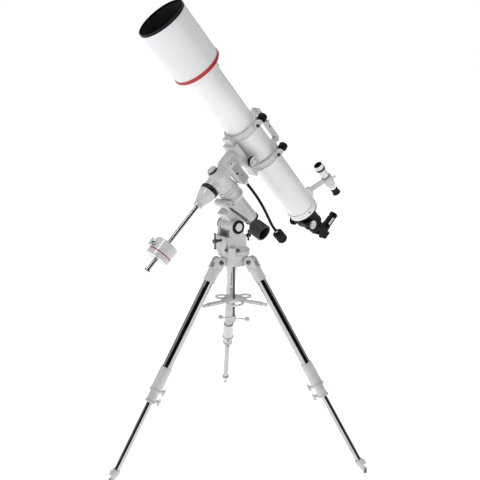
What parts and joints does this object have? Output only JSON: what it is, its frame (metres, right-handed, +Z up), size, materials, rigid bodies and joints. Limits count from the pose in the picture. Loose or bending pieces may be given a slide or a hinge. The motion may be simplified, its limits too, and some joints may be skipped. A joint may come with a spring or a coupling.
{
  "type": "refractor telescope",
  "caption": "White refractor telescope in tube rings on an equatorial mount with counterweight, slow-motion knobs and a folding steel tripod.",
  "frame": {"origin": "floor point under the middle of the outline, beside the tripod axis", "axes": "+Z up, polar axis in the XZ plane and tilted up toward -X"},
  "size_m": [1.1086, 0.945, 1.6696],
  "materials": {
    "white_cast": "white gloss paint",
    "white_tube": "white gloss paint",
    "polished_steel": "polished",
    "dark_steel": "satin",
    "black_plastic": "moulded",
    "gray_plastic": "moulded",
    "black_metal": "black anodised",
    "red_metal": "red anodised",
    "white_iron": "white gloss paint",
    "lens_glass": "coated",
    "black_rubber": "matte"
  },
  "bodies": {
    "tripod": {"tripod_hub": "white_cast", "hub_bolts": "dark_steel", "center_rod": "dark_steel"},
    "leg_1": {"leg_1_bracket": "white_cast", "leg_1_tube": "polished_steel", "leg_1_collar": "white_cast"},
    "shin_1": {"leg_1_lower_tube": "polished_steel", "leg_1_foot": "white_cast"},
    "leg_2": {"leg_2_bracket": "white_cast", "leg_2_tube": "polished_steel", "leg_2_collar": "white_cast"},
    "shin_2": {"leg_2_lower_tube": "polished_steel", "leg_2_foot": "white_cast"},
    "leg_3": {"leg_3_bracket": "white_cast", "leg_3_tube": "polished_steel", "leg_3_collar": "white_cast"},
    "shin_3": {"leg_3_lower_tube": "polished_steel", "leg_3_foot": "white_cast"},
    "tray": {"spreader_tray": "white_cast"},
    "tray_nut": {"tray_handle": "white_cast"},
    "mount_base": {"azimuth_base": "white_cast", "altitude_caps": "black_plastic"},
    "azimuth_screws": {"azimuth_knobs": "polished_steel"},
    "polar_body": {"ra_housing": "white_cast", "ra_end_cap": "black_plastic"},
    "altitude_screw_north": {"altitude_bolt_north": "dark_steel"},
    "altitude_screw_south": {"altitude_bolt_south": "dark_steel"},
    "ra_control": {"ra_control_shaft": "polished_steel", "ra_knob": "gray_plastic"},
    "dec_body": {"dec_housing": "white_cast", "polar_cap": "white_cast", "dec_cable": "black_rubber"},
    "dec_control": {"dec_knob": "black_plastic"},
    "dec_axis": {"dec_axle": "polished_steel", "dec_circle": "black_metal", "shaft_cone": "white_cast", "cw_shaft": "polished_steel", "saddle": "white_cast"},
    "weight": {"counterweight": "white_iron"},
    "weight_screw": {"cw_screw": "polished_steel"},
    "saddle_screw": {"saddle_knob": "white_cast"},
    "cradle": {"dovetail_bar": "white_cast", "ring_bases": "white_cast"},
    "ring_lids": {"ring_caps": "white_cast", "carry_handle": "white_cast"},
    "ring_screw_front": {"ring_knob_front": "black_plastic"},
    "ring_screw_rear": {"ring_knob_rear": "black_plastic"},
    "optical_tube": {"main_tube": "white_tube", "lens_cell": "white_tube", "objective_lens": "lens_glass", "dew_shield": "white_tube", "dew_band": "red_metal", "dew_rim": "black_plastic", "focuser_body": "black_metal"},
    "draw": {"draw_tube": "polished_steel"},
    "focus_wheel": {"focus_knobs": "black_plastic"},
    "diagonal": {"star_diagonal": "black_plastic"},
    "ocular": {"eyepiece": "black_metal"},
    "finder": {"finder_bracket": "white_cast", "finder_scope": "white_tube"}
  },
  "joints": [
    {"name": "leg_1_fold", "type": "hinge", "parent": "tripod", "child": "leg_1", "pos_m": [-0.07946, 0.02372, 0.756], "axis": [-0.0698, -0.9976, 0], "range_deg": [0, 12]},
    {"name": "leg_1_extend", "type": "slide", "parent": "leg_1", "child": "shin_1", "axis": [0.5267, -0.0368, 0.8493], "range_m": [-0.08, 0.2]},
    {"name": "leg_2_fold", "type": "hinge", "parent": "tripod", "child": "leg_2", "pos_m": [0.02105, -0.04408, 0.756], "axis": [0.8988, 0.4384, 0], "range_deg": [0, 12]},
    {"name": "leg_2_extend", "type": "slide", "parent": "leg_2", "child": "shin_2", "axis": [-0.2315, 0.4745, 0.8493], "range_m": [-0.08, 0.2]},
    {"name": "leg_3_fold", "type": "hinge", "parent": "tripod", "child": "leg_3", "pos_m": [0.02951, 0.07687, 0.756], "axis": [-0.829, 0.5592, 0], "range_deg": [0, 12]},
    {"name": "leg_3_extend", "type": "slide", "parent": "leg_3", "child": "shin_3", "axis": [-0.2952, -0.4377, 0.8493], "range_m": [-0.08, 0.2]},
    {"name": "tray_turn", "type": "hinge", "parent": "tripod", "child": "tray", "pos_m": [-0.00964, 0.01883, 0.601], "axis": [0, 0, 1], "range_deg": [0, 60]},
    {"name": "tray_handle_turn", "type": "hinge", "parent": "tripod", "child": "tray_nut", "pos_m": [-0.00964, 0.01883, 0.519], "axis": [0, 0, 1], "continuous": true},
    {"name": "azimuth_turn", "type": "hinge", "parent": "tripod", "child": "mount_base", "pos_m": [-0.00964, 0.01883, 0.79], "axis": [0, 0, 1], "range_deg": [-4, 4]},
    {"name": "azimuth_screw_slide", "type": "slide", "parent": "mount_base", "child": "azimuth_screws", "axis": [0.7314, -0.682, 0], "range_m": [-0.0052, 0.0052]},
    {"name": "altitude_tilt", "type": "hinge", "parent": "mount_base", "child": "polar_body", "pos_m": [-0.02464, 0.01883, 0.889], "axis": [0, 1, 0], "range_deg": [-15, 6]},
    {"name": "altitude_screw_north_slide", "type": "slide", "parent": "mount_base", "child": "altitude_screw_north", "axis": [1, 0, 0], "range_m": [-0.0095, 0.014]},
    {"name": "altitude_screw_south_slide", "type": "slide", "parent": "mount_base", "child": "altitude_screw_south", "axis": [1, 0, 0], "range_m": [-0.0095, 0.014]},
    {"name": "ra_knob_turn", "type": "hinge", "parent": "polar_body", "child": "ra_control", "pos_m": [-0.06647, -0.02317, 0.96758], "axis": [0.1377, -0.9131, -0.3838], "continuous": true},
    {"name": "ra_turn", "type": "hinge", "parent": "polar_body", "child": "dec_body", "pos_m": [-0.07851, 0.01883, 1.06847], "axis": [-0.682, 0, 0.7314], "range_deg": [-45, 75]},
    {"name": "dec_knob_turn", "type": "hinge", "parent": "dec_body", "child": "dec_control", "pos_m": [0.17019, -0.03317, 0.8355], "axis": [0.682, 0, -0.7314], "continuous": true},
    {"name": "dec_turn", "type": "hinge", "parent": "dec_body", "child": "dec_axis", "pos_m": [-0.07851, 0.01883, 1.06847], "axis": [0.7314, 0, 0.682], "continuous": true},
    {"name": "counterweight_slide", "type": "slide", "parent": "dec_axis", "child": "weight", "axis": [0.7314, 0, 0.682], "range_m": [-0.03, 0.16]},
    {"name": "counterweight_screw_turn", "type": "hinge", "parent": "weight", "child": "weight_screw", "pos_m": [-0.35518, 0.01883, 0.86517], "axis": [-0.682, 0, 0.7314], "continuous": true},
    {"name": "saddle_knob_turn", "type": "hinge", "parent": "dec_axis", "child": "saddle_screw", "pos_m": [0.03773, -0.02117, 1.12491], "axis": [0, -1, 0], "continuous": true},
    {"name": "dovetail_slide", "type": "slide", "parent": "dec_axis", "child": "cradle", "axis": [-0.682, 0, 0.7314], "range_m": [-0.025, 0.025]},
    {"name": "ring_lid_open", "type": "hinge", "parent": "cradle", "child": "ring_lids", "pos_m": [0.06335, 0.09189, 1.17888], "axis": [-0.682, 0, 0.7314], "range_deg": [0, 70]},
    {"name": "ring_knob_front_turn", "type": "hinge", "parent": "ring_lids", "child": "ring_screw_front", "pos_m": [0.04385, -0.05903, 1.26325], "axis": [0.703, 0.2756, 0.6556], "continuous": true},
    {"name": "ring_knob_rear_turn", "type": "hinge", "parent": "ring_lids", "child": "ring_screw_rear", "pos_m": [0.14615, -0.05903, 1.15355], "axis": [0.703, 0.2756, 0.6556], "continuous": true},
    {"name": "tube_turn", "type": "hinge", "parent": "cradle", "child": "optical_tube", "pos_m": [0.06776, 0.01883, 1.20487], "axis": [-0.682, 0, 0.7314], "range_deg": [-90, 90]},
    {"name": "focus_slide", "type": "slide", "parent": "optical_tube", "child": "draw", "axis": [0.682, 0, -0.7314], "range_m": [0, 0.06]},
    {"name": "focus_knob_turn", "type": "hinge", "parent": "optical_tube", "child": "focus_wheel", "pos_m": [0.3476, 0.01883, 0.85053], "axis": [0, 1, 0], "range_deg": [0, 574]},
    {"name": "diagonal_turn", "type": "hinge", "parent": "draw", "child": "diagonal", "pos_m": [0.42377, 0.01883, 0.82311], "axis": [-0.682, 0, 0.7314], "continuous": true},
    {"name": "eyepiece_slide", "type": "slide", "parent": "diagonal", "child": "ocular", "axis": [0.7314, 0, 0.682], "range_m": [0, 0.02]},
    {"name": "finder_slide", "type": "slide", "parent": "optical_tube", "child": "finder", "axis": [0.682, 0, -0.7314], "range_m": [0, 0.05]}
  ],
  "couplings": [
    {"joint": "leg_2_fold", "follows": "leg_1_fold", "ratio": 1},
    {"joint": "leg_3_fold", "follows": "leg_1_fold", "ratio": 1},
    {"joint": "tray_turn", "follows": "leg_1_fold", "ratio": 5},
    {"joint": "azimuth_screw_slide", "follows": "azimuth_turn", "m_per_rad": -0.072},
    {"joint": "altitude_screw_north_slide", "follows": "altitude_tilt", "m_per_rad": -0.051},
    {"joint": "altitude_screw_south_slide", "follows": "altitude_tilt", "m_per_rad": -0.051},
    {"joint": "focus_knob_turn", "follows": "focus_slide", "rad_per_m": 166.67}
  ]
}
